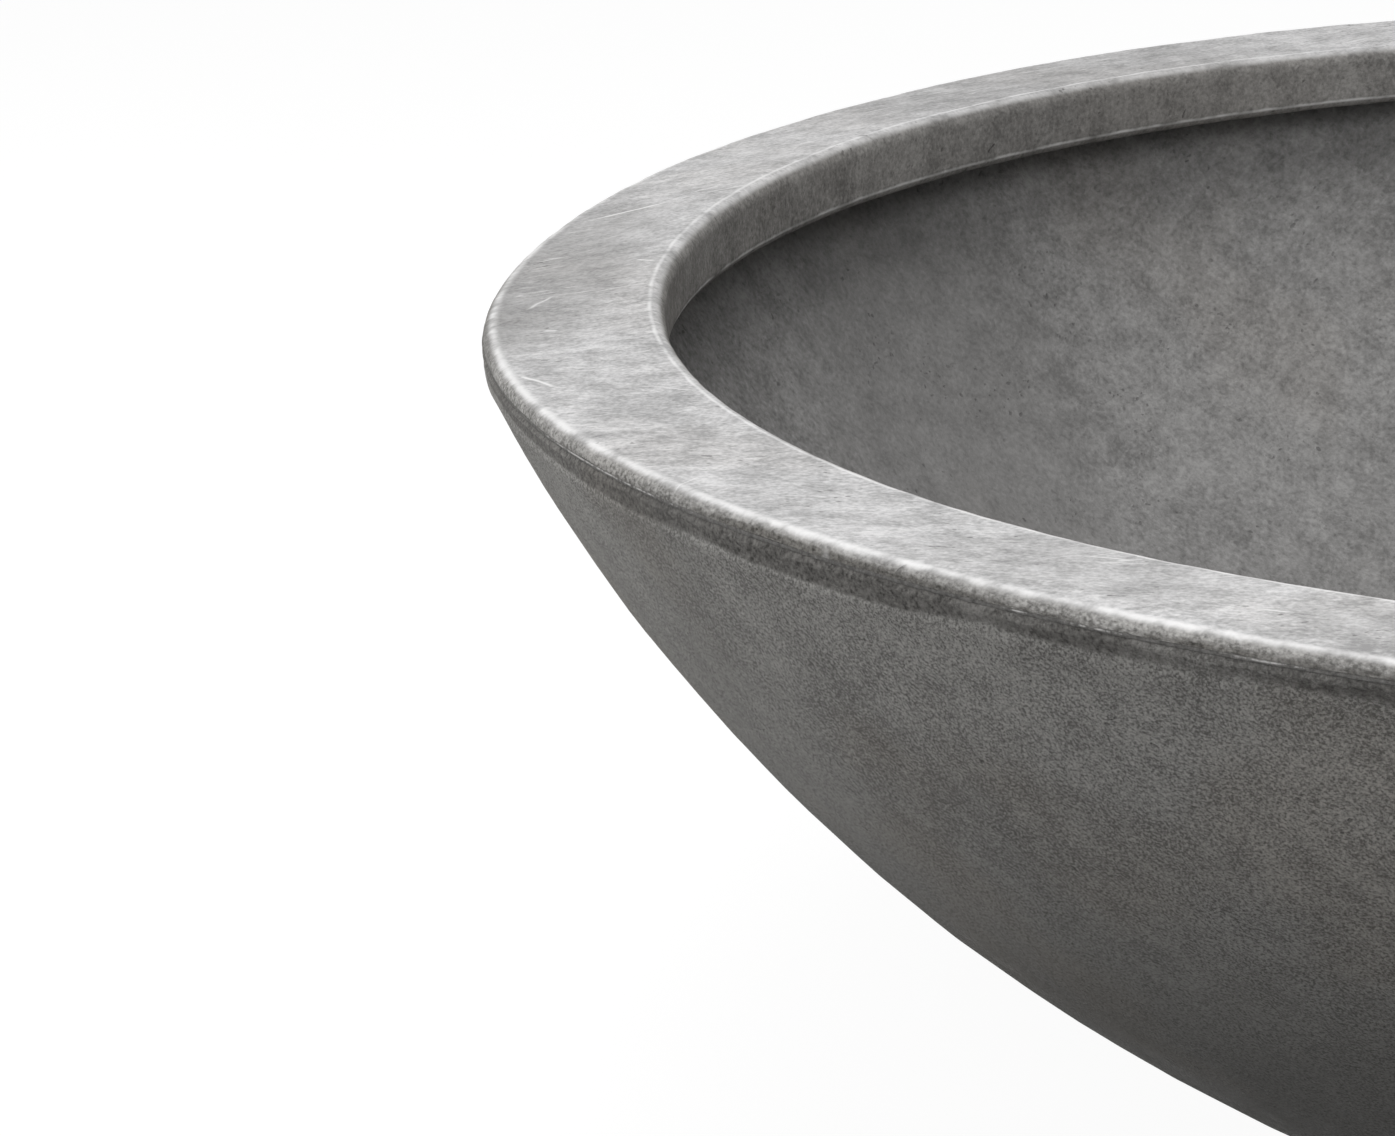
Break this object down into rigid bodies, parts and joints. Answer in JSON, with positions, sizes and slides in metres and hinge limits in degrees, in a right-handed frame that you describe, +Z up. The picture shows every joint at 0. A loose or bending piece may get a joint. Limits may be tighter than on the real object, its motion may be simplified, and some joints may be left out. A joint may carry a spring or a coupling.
{
  "type": "bowl planter",
  "caption": "Large low round bowl planter cast in cement, with a wide flat rim and inner apron, a floor drain with a lift-out plug, and rubber pads under its foot.",
  "frame": {"origin": "on the floor, under the middle of the bowl", "axes": "+Z up, along the bowl's axis; the bowl is round, so +X and +Y are any two level directions, with the pads midway between them"},
  "size_m": [1.2198, 1.22, 0.381],
  "materials": {
    "cast_cement": "matte, hand finished, fine grain",
    "rim_cement": "matte, trowelled, rubbed pale",
    "mortar": "matte, fine",
    "galvanised_steel": "dull zinc",
    "drain_plastic": "matte",
    "plug_rubber": "matte",
    "pad_rubber": "matte"
  },
  "bodies": {
    "planter": {"bowl_shell": "cast_cement", "rim_ring": "rim_cement", "joint_mortar": "mortar", "rim_hoop": "galvanised_steel", "drain_sleeve": "drain_plastic", "foot_pads": "pad_rubber"},
    "plug": {"drain_plug": "plug_rubber"}
  },
  "joints": [
    {"name": "plug_lift", "type": "slide", "parent": "planter", "child": "plug", "axis": [0, 0, 1], "range_m": [0, 0.4]}
  ]
}
